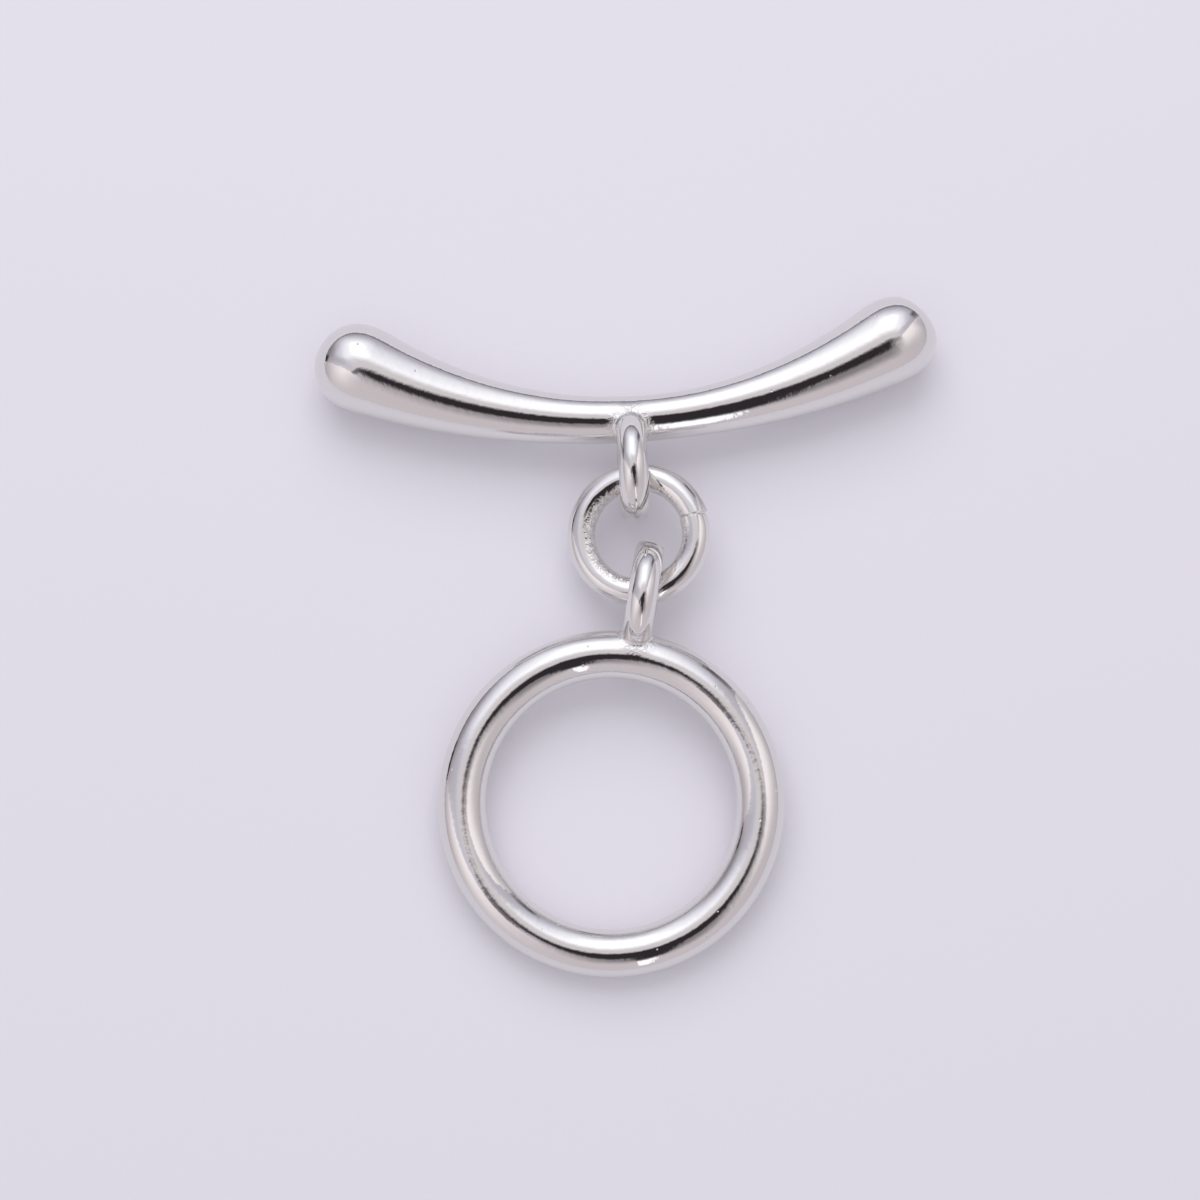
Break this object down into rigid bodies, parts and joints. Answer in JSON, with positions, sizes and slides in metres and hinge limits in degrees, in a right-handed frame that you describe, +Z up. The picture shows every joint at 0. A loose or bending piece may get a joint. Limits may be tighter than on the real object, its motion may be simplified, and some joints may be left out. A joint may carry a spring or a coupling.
{
  "type": "toggle clasp",
  "caption": "Polished toggle clasp: bent bar with bulb ends and a round ring, each with an upright wire eye, linked by a jump ring.",
  "frame": {"origin": "on the surface that the clasp lies on, under the middle of the whole clasp's box", "axes": "+Z up from the surface, +Y from the ring to the bar, +X along the bar, to the right in the picture"},
  "size_m": [0.0262, 0.0286, 0.0046],
  "materials": {
    "polished_bar": "mirror-polished rhodium plating, with bright solder at the foot of the eye",
    "polished_wire": "mirror-polished rhodium plating, rougher on the inner side",
    "polished_ring": "mirror-polished rhodium plating, with a few small pits"
  },
  "bodies": {
    "root": {"toggle_bar": "polished_bar", "jump_ring": "polished_wire", "toggle_ring": "polished_ring"}
  },
  "joints": []
}
